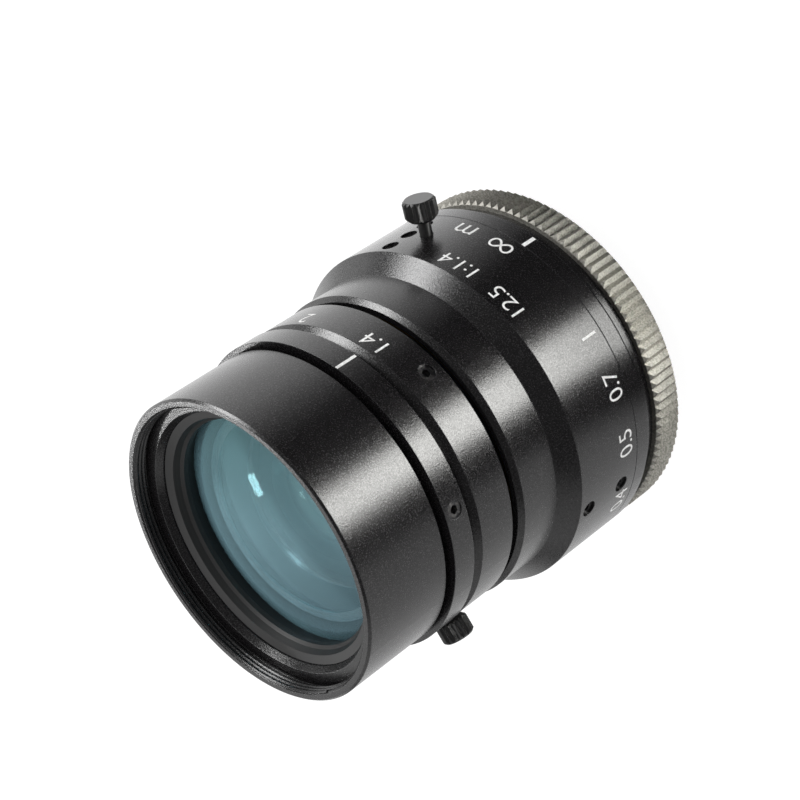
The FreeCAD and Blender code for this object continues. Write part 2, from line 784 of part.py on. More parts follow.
# Iris: pivot plate, blades and cam ring
def pivot_azimuths():
    return spread(first_pivot_azimuth, blade_count)


def iris_base():
    plate = tube(stop_radius, chamber_radius - seat_clearance, iris_base_rear, iris_base_front)
    hole = Part.makeCylinder(pivot_radius + pin_clearance, iris_base_thickness + 2 * EPS,
                             Vector(pivot_circle, 0, iris_base_rear - EPS))
    return plate.cut([at_azimuth(hole, azimuth) for azimuth in pivot_azimuths()])


def drive_pin_place(turn):
    """Drive pin centre beside the blade's own azimuth, after the blade has turned by some degrees."""
    angle = math.radians(drive_arm_angle + turn)
    return Vector(pivot_circle + drive_arm_length * math.cos(angle), drive_arm_length * math.sin(angle), 0)


def iris_blade(index):
    """Crescent blade with its pivot pin below and its drive pin above."""
    level = iris_base_front + (blade_pitch - blade_thickness) + index * blade_pitch
    sweep = blade_tail_deg + blade_head_deg
    outline = Part.makePolygon([Vector(radius, 0, z) for radius, z in (
        (blade_inner_radius, level), (blade_outer_radius, level),
        (blade_outer_radius, level + blade_thickness), (blade_inner_radius, level + blade_thickness),
        (blade_inner_radius, level))])
    crescent = at_azimuth(Part.Face(outline).revolve(ORIGIN, AXIS, sweep), -blade_tail_deg)
    pivot = Vector(pivot_circle, 0, level)
    drive = drive_pin_place(0) + Vector(0, 0, level)
    ear = Part.makeCylinder(blade_ear_radius, blade_thickness, pivot)
    neck_length_inwards = pivot_circle - blade_outer_radius + 2 * blade_ear_radius
    neck = Part.makeBox(neck_length_inwards, 2 * blade_ear_radius, blade_thickness,
                        Vector(pivot_circle - neck_length_inwards, -blade_ear_radius, level))
    eye = Part.makeCylinder(drive_eye_radius, blade_thickness, drive)
    arm = Part.makeBox(drive_arm_length, 2 * drive_eye_radius, blade_thickness,
                       Vector(0, -drive_eye_radius, 0))
    arm.rotate(ORIGIN, AXIS, drive_arm_angle)
    arm.translate(pivot)
    pivot_pin = Part.makeCylinder(pivot_radius, level - iris_base_rear - contact_gap,
                                  Vector(pivot_circle, 0, iris_base_rear + contact_gap))
    drive_pin = Part.makeCylinder(drive_pin_radius, cam_front - level, drive)
    blade = crescent.fuse([ear, neck, eye, arm, pivot_pin, drive_pin]).removeSplitter()
    return at_azimuth(blade, pivot_azimuths()[index])


def cam_slot():
    """Curved slot that the drive pin of the blade at azimuth 0 follows as the cam ring turns."""
    steps = cam_slot_points - 1
    half = drive_pin_radius + pin_clearance
    path = []
    for step in range(steps + 1):
        share = step / steps
        place = drive_pin_place(-share * blade_travel_deg)
        radius = math.hypot(place.x, place.y)
        angle = math.atan2(place.y, place.x) + math.radians(share * iris_travel_deg)
        path.append(Vector(radius * math.cos(angle), radius * math.sin(angle), 0))
    sides = [[], []]
    for step, point in enumerate(path):
        along = path[min(step + 1, steps)] - path[max(step - 1, 0)]
        along.normalize()
        across = Vector(-along.y, along.x, 0) * half
        sides[0].append(point + across)
        sides[1].append(point - across)
    edges = []
    for side in sides:
        curve = Part.BSplineCurve()
        curve.interpolate(side)
        edges.append(curve.toShape())
    for end, inside in ((0, 1), (steps, steps - 1)):
        outwards = path[end] - path[inside]
        outwards.normalize()
        edges.append(Part.Arc(sides[0][end], path[end] + outwards * half, sides[1][end]).toShape())
    outline = Part.Wire(Part.__sortEdges__(edges))
    slot = Part.Face(outline).extrude(Vector(0, 0, cam_ring_thickness + 2 * EPS))
    slot.translate(Vector(0, 0, cam_rear - EPS))
    return slot


def iris_cam_ring():
    ring = tube(cam_ring_bore, cam_ring_radius, cam_rear, cam_front)
    slot = cam_slot()
    notch_width = 2 * (iris_pin_radius + pin_clearance)
    notch = Part.makeBox(cam_notch_depth + EPS, notch_width, cam_ring_thickness + 2 * EPS,
                         Vector(cam_ring_radius - cam_notch_depth, -notch_width / 2, cam_rear - EPS))
    cuts = [at_azimuth(slot, azimuth) for azimuth in pivot_azimuths()]
    cuts.append(at_azimuth(notch, iris_screw_azimuth))
    return ring.cut(cuts)


# Rear cell and the glass behind the iris
def shoulder_front():
    """Height where the cemented pair rests on the cell's shoulder."""
    return doublet_rear_vertex() + sag(doublet_rear_curve, rear_shoulder_bore) - contact_gap


def doublet_front_vertex():
    """The pair's flat front rim lies just under the pivot plate."""
    return iris_base_rear - end_gap - sag(doublet_front_curve, doublet_hollow_radius)


def doublet_rear_vertex():
    crown_centre = (sag(doublet_middle_curve, doublet_radius) + crown_edge
                    + sag(doublet_rear_curve, doublet_radius))
    return doublet_front_vertex() - flint_centre - crown_centre


def rear_cell_rear():
    return rear_ring_rear() - end_gap


def rear_cell():
    flange_rear_z = iris_base_rear - contact_gap - rear_flange_thickness
    front = iris_base_rear - contact_gap
    pair_pocket = doublet_radius + seat_clearance
    return turned([
        (rear_bore, rear_cell_rear()), (rear_cell_radius, rear_cell_rear()),
        (rear_cell_radius, flange_rear_z), (chamber_radius - seat_clearance, flange_rear_z),
        (chamber_radius - seat_clearance, front), (pair_pocket, front), (pair_pocket, shoulder_front()),
        (rear_shoulder_bore, shoulder_front()), (rear_shoulder_bore, shoulder_front() - rear_shoulder_length),
        (rear_bore, shoulder_front() - rear_shoulder_length)])


def doublet_flint():
    vertex = doublet_front_vertex()
    return glass(doublet_radius, (vertex, doublet_front_curve, False, doublet_hollow_radius),
                 (vertex - flint_centre, doublet_middle_curve, False, doublet_radius))


def doublet_crown():
    vertex = doublet_front_vertex() - flint_centre
    return glass(doublet_radius, (vertex, doublet_middle_curve, True, doublet_radius),
                 (doublet_rear_vertex(), doublet_rear_curve, True, doublet_radius))


def fifth_vertex():
    """The fifth element bears on the rear edge of the shoulder."""
    return (shoulder_front() - rear_shoulder_length - contact_gap
            + sag(fifth_glass_front_curve, rear_shoulder_bore))


def fifth_rear_vertex():
    return (fifth_vertex() - sag(fifth_glass_front_curve, rear_glass_radius) - fifth_glass_edge
            - sag(fifth_glass_rear_curve, rear_glass_radius))


def fifth_element():
    vertex = fifth_vertex()
    return glass(rear_glass_radius, (vertex, fifth_glass_front_curve, True, rear_glass_radius),
                 (fifth_rear_vertex(), fifth_glass_rear_curve, True, rear_glass_radius))


def wide_spacer_front():
    return fifth_rear_vertex() + sag(fifth_glass_rear_curve, spacer_bore) - contact_gap


def wide_spacer():
    front = wide_spacer_front()
    return tube(spacer_bore, rear_glass_radius, front - wide_spacer_length, front)


def sixth_rim():
    """Height of the sixth element's front rim, under the wide spacer."""
    return wide_spacer_front() - wide_spacer_length - contact_gap


def sixth_element():
    reach = rear_glass_radius - spacer_wall / 2
    vertex = sixth_rim() - sag(sixth_glass_front_curve, reach)
    rear = vertex - sixth_glass_centre
    depth = rear - (sixth_rim() - sixth_glass_edge)
    curve = hollow_curve(reach, depth)
    return glass(rear_glass_radius, (vertex, sixth_glass_front_curve, False, reach),
                 (rear, curve, False, reach))


def thin_spacer_front():
    return sixth_rim() - sixth_glass_edge - contact_gap


def thin_spacer():
    front = thin_spacer_front()
    return tube(spacer_bore, rear_glass_radius, front - thin_spacer_length, front)


def last_vertex():
    return thin_spacer_front() - thin_spacer_length - contact_gap + sag(last_glass_front_curve, spacer_bore)


def last_rear_vertex():
    return (last_vertex() - sag(last_glass_front_curve, rear_glass_radius) - last_glass_edge
            - sag(last_glass_rear_curve, rear_glass_radius))


def rear_element():
    vertex = last_vertex()
    return glass(rear_glass_radius, (vertex, last_glass_front_curve, True, rear_glass_radius),
                 (last_rear_vertex(), last_glass_rear_curve, True, rear_glass_radius))


def rear_ring_rear():
    front = last_rear_vertex() + sag(last_glass_rear_curve, rear_ring_bore) - contact_gap
    return front - rear_ring_length


def rear_retaining_ring():
    rear = rear_ring_rear()
    return tube(rear_ring_bore, rear_glass_radius, rear, rear + rear_ring_length)


for build in (mount_ring, mount_screws, base_barrel, guide_key, stop_pin,
              focus_ring, focus_set_screws, helicoid_ring, guide_screws, focus_lock_screw,
              inner_barrel, iris_index_ring, index_set_screws, front_barrel, front_retaining_ring,
              front_cell, front_element, second_element, second_element_ring, third_element,
              iris_base, rear_cell, doublet_flint, doublet_crown, fifth_element, wide_spacer,
              sixth_element, thin_spacer, rear_element, rear_retaining_ring,
              iris_ring, iris_drive_screw, iris_cam_ring, iris_lock_screw):
    shapes[build.__name__] = build()
for index in range(blade_count):
    shapes["iris_blade_%d" % (index + 1)] = iris_blade(index)

os.makedirs("parts", exist_ok=True)
for name, shape in shapes.items():
    shape.exportStep("parts/%s.step" % name)
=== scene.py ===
import math

import bmesh
import bpy
from mathutils import Matrix, Vector


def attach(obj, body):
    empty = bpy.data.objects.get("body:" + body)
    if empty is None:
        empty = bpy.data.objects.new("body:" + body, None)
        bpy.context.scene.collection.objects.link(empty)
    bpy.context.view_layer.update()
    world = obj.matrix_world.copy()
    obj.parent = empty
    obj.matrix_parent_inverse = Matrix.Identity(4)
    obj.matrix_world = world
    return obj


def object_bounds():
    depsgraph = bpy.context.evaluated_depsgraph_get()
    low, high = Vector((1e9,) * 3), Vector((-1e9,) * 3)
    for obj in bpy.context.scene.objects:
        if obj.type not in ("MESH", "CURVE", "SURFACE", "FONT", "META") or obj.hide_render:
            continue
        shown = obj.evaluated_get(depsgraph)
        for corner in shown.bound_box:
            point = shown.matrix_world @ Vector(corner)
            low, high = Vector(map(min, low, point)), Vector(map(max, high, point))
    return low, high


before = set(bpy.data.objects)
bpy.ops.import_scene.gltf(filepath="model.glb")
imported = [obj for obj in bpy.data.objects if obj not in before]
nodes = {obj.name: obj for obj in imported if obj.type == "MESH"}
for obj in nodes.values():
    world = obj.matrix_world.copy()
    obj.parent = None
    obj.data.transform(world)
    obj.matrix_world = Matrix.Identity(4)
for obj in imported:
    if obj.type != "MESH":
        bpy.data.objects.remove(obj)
cad_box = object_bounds()


# Black anodised housing: front barrel, index ring, iris ring, focus ring and base barrel.
# The real ones are turned from aluminium, blasted to a fine satin grain and anodised black.
MM = 0.001


def new_finish(name):
    """A new surface finish and its nodes."""
    made = bpy.data.materials.new(name)
    made.use_nodes = True
    return made, made.node_tree


def mottle(tree, scale, detail):
    """Uneven patches in a finish, about 1000 / scale millimetres across."""
    coords = tree.nodes.new("ShaderNodeTexCoord")
    patches = tree.nodes.new("ShaderNodeTexNoise")
    patches.inputs["Scale"].default_value = scale
    patches.inputs["Detail"].default_value = detail
    tree.links.new(coords.outputs["Object"], patches.inputs["Vector"])
    return patches


def broken_edge(tree, radius):
    """The way a surface faces when its sharp edges are broken by a small radius in millimetres."""
    rounded = tree.nodes.new("ShaderNodeBevel")
    rounded.samples = 4
    rounded.inputs["Radius"].default_value = radius * MM
    return rounded


def dress(finish, *pieces):
    """Gives solids of the frame their finish."""
    for piece in pieces:
        nodes[piece].data.materials.clear()
        nodes[piece].data.materials.append(finish)


anodised, tree = new_finish("anodised_black")
shader = tree.nodes["Principled BSDF"]
shader.inputs["IOR"].default_value = 1.56
grain = mottle(tree, 6200, 2)
grain.inputs["Roughness"].default_value = 0.6
cloud = mottle(tree, 160, 4)
# Rubbed edges and painted edge highlight: where a rounded normal leaves the true one, the colour is
# lighter, partly where the dye is thinner and partly as a painted highlight along the edges.
rounded = broken_edge(tree, 0.12)
geometry = tree.nodes.new("ShaderNodeNewGeometry")
facing = tree.nodes.new("ShaderNodeVectorMath")
facing.operation = "DOT_PRODUCT"
tree.links.new(rounded.outputs["Normal"], facing.inputs[0])
tree.links.new(geometry.outputs["Normal"], facing.inputs[1])
wear_and_edge_highlight = tree.nodes.new("ShaderNodeMapRange")
wear_and_edge_highlight.inputs["From Min"].default_value = 0.995
wear_and_edge_highlight.inputs["From Max"].default_value = 0.86
tree.links.new(facing.outputs["Value"], wear_and_edge_highlight.inputs["Value"])
patchy = tree.nodes.new("ShaderNodeMath")
patchy.operation = "MULTIPLY"
tree.links.new(wear_and_edge_highlight.outputs["Result"], patchy.inputs[0])
tree.links.new(cloud.outputs["Fac"], patchy.inputs[1])
dye = tree.nodes.new("ShaderNodeValToRGB")
dye.color_ramp.elements[0].position = 0.35
dye.color_ramp.elements[0].color = (0.003, 0.0028, 0.003, 1)
dye.color_ramp.elements[1].position = 0.75
dye.color_ramp.elements[1].color = (0.013, 0.012, 0.013, 1)
tree.links.new(grain.outputs["Fac"], dye.inputs["Fac"])
# The lighter grey at the edges is partly rubbed dye and partly a painted highlight.
worn_and_highlit = tree.nodes.new("ShaderNodeMix")
worn_and_highlit.data_type = "RGBA"
worn_and_highlit.inputs["B"].default_value = (0.075, 0.075, 0.078, 1)
tree.links.new(patchy.outputs["Value"], worn_and_highlit.inputs["Factor"])
tree.links.new(dye.outputs["Color"], worn_and_highlit.inputs["A"])
tree.links.new(worn_and_highlit.outputs["Result"], shader.inputs["Base Color"])
satin = tree.nodes.new("ShaderNodeMapRange")
satin.inputs["From Min"].default_value = 0.3
satin.inputs["From Max"].default_value = 0.7
satin.inputs["To Min"].default_value = 0.20
satin.inputs["To Max"].default_value = 0.30
tree.links.new(grain.outputs["Fac"], satin.inputs["Value"])
tree.links.new(satin.outputs["Result"], shader.inputs["Roughness"])
# The blasted pits send some of the sheen astray, so the bright bands look sandy.
sand = tree.nodes.new("ShaderNodeValToRGB")
sand.color_ramp.elements[0].position = 0.34
sand.color_ramp.elements[0].color = (0.5, 0.5, 0.5, 1)
sand.color_ramp.elements[1].position = 0.64
sand.color_ramp.elements[1].color = (1, 1, 1, 1)
tree.links.new(grain.outputs["Fac"], sand.inputs["Fac"])
tree.links.new(sand.outputs["Color"], shader.inputs["Specular Tint"])
relief = tree.nodes.new("ShaderNodeBump")
relief.inputs["Strength"].default_value = 0.7
relief.inputs["Distance"].default_value = 0.022 * MM
tree.links.new(grain.outputs["Fac"], relief.inputs["Height"])
tree.links.new(rounded.outputs["Normal"], relief.inputs["Normal"])
tree.links.new(relief.outputs["Normal"], shader.inputs["Normal"])
dress(anodised, "front_barrel", "iris_index_ring", "iris_ring", "focus_ring", "base_barrel")


# Matt black inner parts: retaining rings, cells, iris plates and the inner barrel.
# They are turned and anodised without blasting, so faint turning rings stay in the black.
def turning_rings(tree, scale, detail):
    """Fine marks of the turning tool, the same all the way round the axis."""
    coords = tree.nodes.new("ShaderNodeTexCoord")
    split = tree.nodes.new("ShaderNodeSeparateXYZ")
    tree.links.new(coords.outputs["Object"], split.inputs["Vector"])
    flat = tree.nodes.new("ShaderNodeCombineXYZ")
    tree.links.new(split.outputs["X"], flat.inputs["X"])
    tree.links.new(split.outputs["Y"], flat.inputs["Y"])
    reach = tree.nodes.new("ShaderNodeVectorMath")
    reach.operation = "LENGTH"
    tree.links.new(flat.outputs["Vector"], reach.inputs[0])
    ring_place = tree.nodes.new("ShaderNodeCombineXYZ")
    tree.links.new(reach.outputs["Value"], ring_place.inputs["X"])
    tree.links.new(split.outputs["Z"], ring_place.inputs["Z"])
    rings = tree.nodes.new("ShaderNodeTexNoise")
    rings.inputs["Scale"].default_value = scale
    rings.inputs["Detail"].default_value = detail
    tree.links.new(ring_place.outputs["Vector"], rings.inputs["Vector"])
    return rings


def two_tones(tree, marks, dark, light, start=0, end=1):
    """Colours a finish between a dark and a light tone, as its marks go."""
    tone = tree.nodes.new("ShaderNodeValToRGB")
    tone.color_ramp.elements[0].position = start
    tone.color_ramp.elements[0].color = (*dark, 1)
    tone.color_ramp.elements[1].position = end
    tone.color_ramp.elements[1].color = (*light, 1)
    tree.links.new(marks.outputs["Fac"], tone.inputs["Fac"])
    tree.links.new(tone.outputs["Color"], tree.nodes["Principled BSDF"].inputs["Base Color"])


def sheen_between(tree, marks, smooth, rough):
    """Lets the sheen of a finish vary between two roughnesses, as its marks go."""
    satin = tree.nodes.new("ShaderNodeMapRange")
    satin.inputs["To Min"].default_value = smooth
    satin.inputs["To Max"].default_value = rough
    tree.links.new(marks.outputs["Fac"], satin.inputs["Value"])
    tree.links.new(satin.outputs["Result"], tree.nodes["Principled BSDF"].inputs["Roughness"])


def fine_relief(tree, marks, strength, depth=0.01):
    """Raises the marks of a finish by a depth in millimetres."""
    relief = tree.nodes.new("ShaderNodeBump")
    relief.inputs["Strength"].default_value = strength
    relief.inputs["Distance"].default_value = depth * MM
    tree.links.new(marks.outputs["Fac"], relief.inputs["Height"])
    tree.links.new(relief.outputs["Normal"], tree.nodes["Principled BSDF"].inputs["Normal"])
    return relief


inner, tree = new_finish("turned_black")
tree.nodes["Principled BSDF"].inputs["Metallic"].default_value = 0.2
turning = turning_rings(tree, 9000, 2)
two_tones(tree, turning, (0.010, 0.010, 0.010), (0.026, 0.026, 0.026))
sheen_between(tree, turning, 0.38, 0.55)
fine_relief(tree, turning, 0.3)
dress(inner, "front_retaining_ring", "front_cell", "second_element_ring", "inner_barrel", "iris_base",
      "iris_cam_ring", "rear_cell", "wide_spacer", "thin_spacer", "rear_retaining_ring")


# Mount ring: plated brass, turned and straight-knurled, with a warm nickel tone.
# Fine turning rings run round it, and the plating is mottled between the knurl's broken edges.
nickel, tree = new_finish("nickel_turned")
tree.nodes["Principled BSDF"].inputs["Metallic"].default_value = 1.0
turning = turning_rings(tree, 7000, 3)
stain = mottle(tree, 4200, 3)
two_tones(tree, stain, (0.25, 0.243, 0.220), (0.48, 0.467, 0.425), start=0.36, end=0.62)
sheen_between(tree, stain, 0.58, 0.74)
rounded = broken_edge(tree, 0.08)
relief = fine_relief(tree, turning, 0.35, depth=0.012)
tree.links.new(rounded.outputs["Normal"], relief.inputs["Normal"])
dress(nickel, "mount_ring")


# Small steel parts: set screws, guide screws, pins and the drive screw, oil-blackened.
# The blackening is uneven, so bare steel glints at the edges of the sockets.
steel, tree = new_finish("blackened_steel")
tree.nodes["Principled BSDF"].inputs["Metallic"].default_value = 0.9
patches = mottle(tree, 1800, 4)
two_tones(tree, patches, (0.035, 0.035, 0.037), (0.16, 0.155, 0.15), start=0.4, end=0.72)
sheen_between(tree, patches, 0.25, 0.45)
fine_relief(tree, patches, 0.3)
dress(steel, "mount_screws", "guide_key", "stop_pin", "guide_screws", "focus_set_screws",
      "index_set_screws", "iris_drive_screw")


# Thumb screws: fluted brass under a smooth black plating, glossier than the housing.
# The plating is a little uneven, and the flutes' edges are broken by a small radius.
plated, tree = new_finish("black_plating")
tree.nodes["Principled BSDF"].inputs["Metallic"].default_value = 0.5
tree.nodes["Principled BSDF"].inputs["IOR"].default_value = 1.6
patches = mottle(tree, 2600, 3)
two_tones(tree, patches, (0.014, 0.014, 0.015), (0.045, 0.044, 0.043))
sheen_between(tree, patches, 0.24, 0.38)
rounded = broken_edge(tree, 0.08)
relief = fine_relief(tree, patches, 0.25)
tree.links.new(rounded.outputs["Normal"], relief.inputs["Normal"])
dress(plated, "focus_lock_screw", "iris_lock_screw")


# Helicoid ring: bare turned brass, hidden between the focus sleeve and the base tube.
# It is slightly tarnished in patches where grease and air have reached it.
brass, tree = new_finish("turned_brass")
tree.nodes["Principled BSDF"].inputs["Metallic"].default_value = 1.0
tarnish = mottle(tree, 300, 5)
two_tones(tree, tarnish, (0.35, 0.24, 0.10), (0.72, 0.54, 0.26))
sheen_between(tree, tarnish, 0.22, 0.4)
fine_relief(tree, tarnish, 0.2)
dress(brass, "helicoid_ring")


# Iris blades: six leaves stamped from thin spring steel and given a dull black coat.
# Each slides over the next, so the coat is rubbed slightly grey in streaks.
BLADES = 6
blade_coat, tree = new_finish("blade_coat")
tree.nodes["Principled BSDF"].inputs["Metallic"].default_value = 0.6
rub = mottle(tree, 700, 4)
rub.inputs["Distortion"].default_value = 0.6
two_tones(tree, rub, (0.040, 0.040, 0.043), (0.125, 0.122, 0.120))
sheen_between(tree, rub, 0.35, 0.5)
fine_relief(tree, rub, 0.15)
dress(blade_coat, *("iris_blade_%d" % (index + 1) for index in range(BLADES)))


# Glass elements: polished optical glass. Each face has an anti-reflection coating that turns
# the reflected light blue-green in front and olive or violet on the elements behind. A faint diffuse
# tint lies on each, partly a film of dust and coating and partly a painted reflection of the coatings'
# colour, stronger where the faces are cemented.
for name, tint, mirrored, haze_and_painted_tint, misted_and_painted in (
        ("front_element", (0.36, 0.66, 0.72, 1), 0.0, (0.24, 0.46, 0.52, 1), 0.08),
        ("second_element", (0.50, 0.70, 0.66, 1), 0.035, (0.20, 0.40, 0.44, 1), 0.03),
        ("third_element", (0.40, 0.60, 0.58, 1), 0.02, (0.28, 0.48, 0.48, 1), 0.07),
        ("doublet_flint", (0.60, 0.52, 0.40, 1), 0.05, (0.50, 0.42, 0.26, 1), 0.36),
        ("doublet_crown", (0.60, 0.52, 0.40, 1), 0.06, (0.42, 0.40, 0.28, 1), 0.05),
        ("fifth_element", (0.50, 0.62, 0.50, 1), 0.06, (0.30, 0.40, 0.32, 1), 0.05),
        ("sixth_element", (0.45, 0.55, 0.70, 1), 0.06, (0.28, 0.34, 0.44, 1), 0.05),
        ("rear_element", (0.50, 0.40, 0.66, 1), 0.14, (0.34, 0.28, 0.46, 1), 0.16)):
    coated, tree = new_finish("coated_" + name)
    tree.nodes.remove(tree.nodes["Principled BSDF"])
    clear = tree.nodes.new("ShaderNodeBsdfRefraction")
    clear.inputs["IOR"].default_value = 1.5
    clear.inputs["Roughness"].default_value = 0.0
    clear.inputs["Color"].default_value = (0.93, 0.97, 0.97, 1)
    passing = tree.nodes.new("ShaderNodeBsdfTransparent")
    path = tree.nodes.new("ShaderNodeLightPath")
    body = tree.nodes.new("ShaderNodeMixShader")
    tree.links.new(path.outputs["Is Shadow Ray"], body.inputs["Fac"])
    tree.links.new(clear.outputs["BSDF"], body.inputs[1])
    tree.links.new(passing.outputs["BSDF"], body.inputs[2])
    smear = mottle(tree, 60, 3)
    milky = tree.nodes.new("ShaderNodeMix")
    milky.data_type = "RGBA"
    milky.inputs["A"].default_value = haze_and_painted_tint
    milky.inputs["B"].default_value = (haze_and_painted_tint[0] * 0.8, haze_and_painted_tint[1] * 0.85, haze_and_painted_tint[2] * 0.95, 1)
    tree.links.new(smear.outputs["Fac"], milky.inputs["Factor"])
    # The diffuse tint is partly a film of dust and coating and partly a painted reflection of the
    # coatings' colour.
    bloom_and_painted_reflection = tree.nodes.new("ShaderNodeBsdfDiffuse")
    tree.links.new(milky.outputs["Result"], bloom_and_painted_reflection.inputs["Color"])
    unshadowed = tree.nodes.new("ShaderNodeMath")
    unshadowed.operation = "SUBTRACT"
    unshadowed.inputs[0].default_value = 1
    tree.links.new(path.outputs["Is Shadow Ray"], unshadowed.inputs[1])
    misty = tree.nodes.new("ShaderNodeMath")
    misty.operation = "MULTIPLY"
    misty.inputs[1].default_value = misted_and_painted
    tree.links.new(unshadowed.outputs["Value"], misty.inputs[0])
    veiled = tree.nodes.new("ShaderNodeMixShader")
    tree.links.new(misty.outputs["Value"], veiled.inputs["Fac"])
    tree.links.new(body.outputs["Shader"], veiled.inputs[1])
    tree.links.new(bloom_and_painted_reflection.outputs["BSDF"], veiled.inputs[2])
    mirror = tree.nodes.new("ShaderNodeBsdfGlossy")
    mirror.inputs["Roughness"].default_value = 0.02
    mirror.inputs["Color"].default_value = tint
    grazing = tree.nodes.new("ShaderNodeFresnel")
    grazing.inputs["IOR"].default_value = 1.15
    share = tree.nodes.new("ShaderNodeMath")
    share.operation = "ADD"
    share.use_clamp = True
    share.inputs[1].default_value = mirrored
    tree.links.new(grazing.outputs["Fac"], share.inputs[0])
    seen_share = tree.nodes.new("ShaderNodeMath")
    seen_share.operation = "MULTIPLY"
    tree.links.new(share.outputs["Value"], seen_share.inputs[0])
    tree.links.new(unshadowed.outputs["Value"], seen_share.inputs[1])
    whole = tree.nodes.new("ShaderNodeMixShader")
    tree.links.new(seen_share.outputs["Value"], whole.inputs["Fac"])
    tree.links.new(veiled.outputs["Shader"], whole.inputs[1])
    tree.links.new(mirror.outputs["BSDF"], whole.inputs[2])
    tree.links.new(whole.outputs["Shader"], tree.nodes["Material Output"].inputs["Surface"])
    dress(coated, name)

# The front element's hollow rear face mirrors the light once more, through the front face.
# It is curved more one way than the other; its coating tints the reflection blue-green, and painted
# shade darkens it to grey towards one side.
DEEP_RADIUS = 64
SHALLOW_RADIUS = 120
DEEP_AZIMUTH = 59
HOLLOW_SHARE = 0.155
PAINTED_SHADE_WAY = (0.62, -0.79, 0)
PAINTED_SHADE_REACH = 14
deep = Vector((math.cos(math.radians(DEEP_AZIMUTH)), math.sin(math.radians(DEEP_AZIMUTH)), 0))
tree = bpy.data.materials["coated_front_element"].node_tree
output = tree.nodes["Material Output"]
outer = output.inputs["Surface"].links[0].from_socket
coords = tree.nodes.new("ShaderNodeTexCoord")
level_place = tree.nodes.new("ShaderNodeVectorMath")
level_place.operation = "MULTIPLY"
level_place.inputs[1].default_value = (1, 1, 0)
tree.links.new(coords.outputs["Object"], level_place.inputs[0])
slope = tree.nodes.new("ShaderNodeVectorMath")
slope.operation = "MULTIPLY"
slope.inputs[1].default_value = (-1 / (SHALLOW_RADIUS * MM), -1 / (SHALLOW_RADIUS * MM), 0)
tree.links.new(coords.outputs["Object"], slope.inputs[0])
along = tree.nodes.new("ShaderNodeVectorMath")
along.operation = "DOT_PRODUCT"
along.inputs[1].default_value = deep
tree.links.new(coords.outputs["Object"], along.inputs[0])
deeper = tree.nodes.new("ShaderNodeVectorMath")
deeper.operation = "SCALE"
deeper.inputs[0].default_value = deep * (1 / SHALLOW_RADIUS - 1 / DEEP_RADIUS) / MM
tree.links.new(along.outputs["Value"], deeper.inputs["Scale"])
both = tree.nodes.new("ShaderNodeVectorMath")
both.operation = "ADD"
tree.links.new(slope.outputs["Vector"], both.inputs[0])
tree.links.new(deeper.outputs["Vector"], both.inputs[1])
upright = tree.nodes.new("ShaderNodeVectorMath")
upright.operation = "ADD"
upright.inputs[1].default_value = (0, 0, 1)
tree.links.new(both.outputs["Vector"], upright.inputs[0])
hollow = tree.nodes.new("ShaderNodeVectorMath")
hollow.operation = "NORMALIZE"
tree.links.new(upright.outputs["Vector"], hollow.inputs[0])
across = tree.nodes.new("ShaderNodeVectorMath")
across.operation = "DOT_PRODUCT"
across.inputs[1].default_value = PAINTED_SHADE_WAY
tree.links.new(coords.outputs["Object"], across.inputs[0])
span = tree.nodes.new("ShaderNodeMapRange")
span.inputs["From Min"].default_value = -PAINTED_SHADE_REACH * MM
span.inputs["From Max"].default_value = PAINTED_SHADE_REACH * MM
tree.links.new(across.outputs["Value"], span.inputs["Value"])
# The reflection's tint is the coating's blue-green, darkened to grey towards one side by painted shade.
coating_and_painted_shade = tree.nodes.new("ShaderNodeValToRGB")
coating_and_painted_shade.color_ramp.elements[0].color = (0.31, 0.60, 0.63, 1)
coating_and_painted_shade.color_ramp.elements[1].color = (0.17, 0.25, 0.30, 1)
middle = coating_and_painted_shade.color_ramp.elements.new(0.5)
middle.color = (0.38, 0.61, 0.69, 1)
tree.links.new(span.outputs["Result"], coating_and_painted_shade.inputs["Fac"])
behind = tree.nodes.new("ShaderNodeBsdfGlossy")
behind.inputs["Roughness"].default_value = 0.13
tree.links.new(coating_and_painted_shade.outputs["Color"], behind.inputs["Color"])
tree.links.new(hollow.outputs["Vector"], behind.inputs["Normal"])
geometry = tree.nodes.new("ShaderNodeNewGeometry")
split = tree.nodes.new("ShaderNodeSeparateXYZ")
tree.links.new(geometry.outputs["Normal"], split.inputs["Vector"])
front_face = tree.nodes.new("ShaderNodeMath")
front_face.operation = "GREATER_THAN"
front_face.inputs[1].default_value = 0.7
tree.links.new(split.outputs["Z"], front_face.inputs[0])
path = tree.nodes.new("ShaderNodeLightPath")
seen_front = tree.nodes.new("ShaderNodeMath")
seen_front.operation = "SUBTRACT"
seen_front.use_clamp = True
tree.links.new(front_face.outputs["Value"], seen_front.inputs[0])
tree.links.new(path.outputs["Is Shadow Ray"], seen_front.inputs[1])
share = tree.nodes.new("ShaderNodeMath")
share.operation = "MULTIPLY"
share.inputs[1].default_value = HOLLOW_SHARE
tree.links.new(seen_front.outputs["Value"], share.inputs[0])
twice = tree.nodes.new("ShaderNodeMixShader")
tree.links.new(share.outputs["Value"], twice.inputs["Fac"])
tree.links.new(outer, twice.inputs[1])
tree.links.new(behind.outputs["BSDF"], twice.inputs[2])

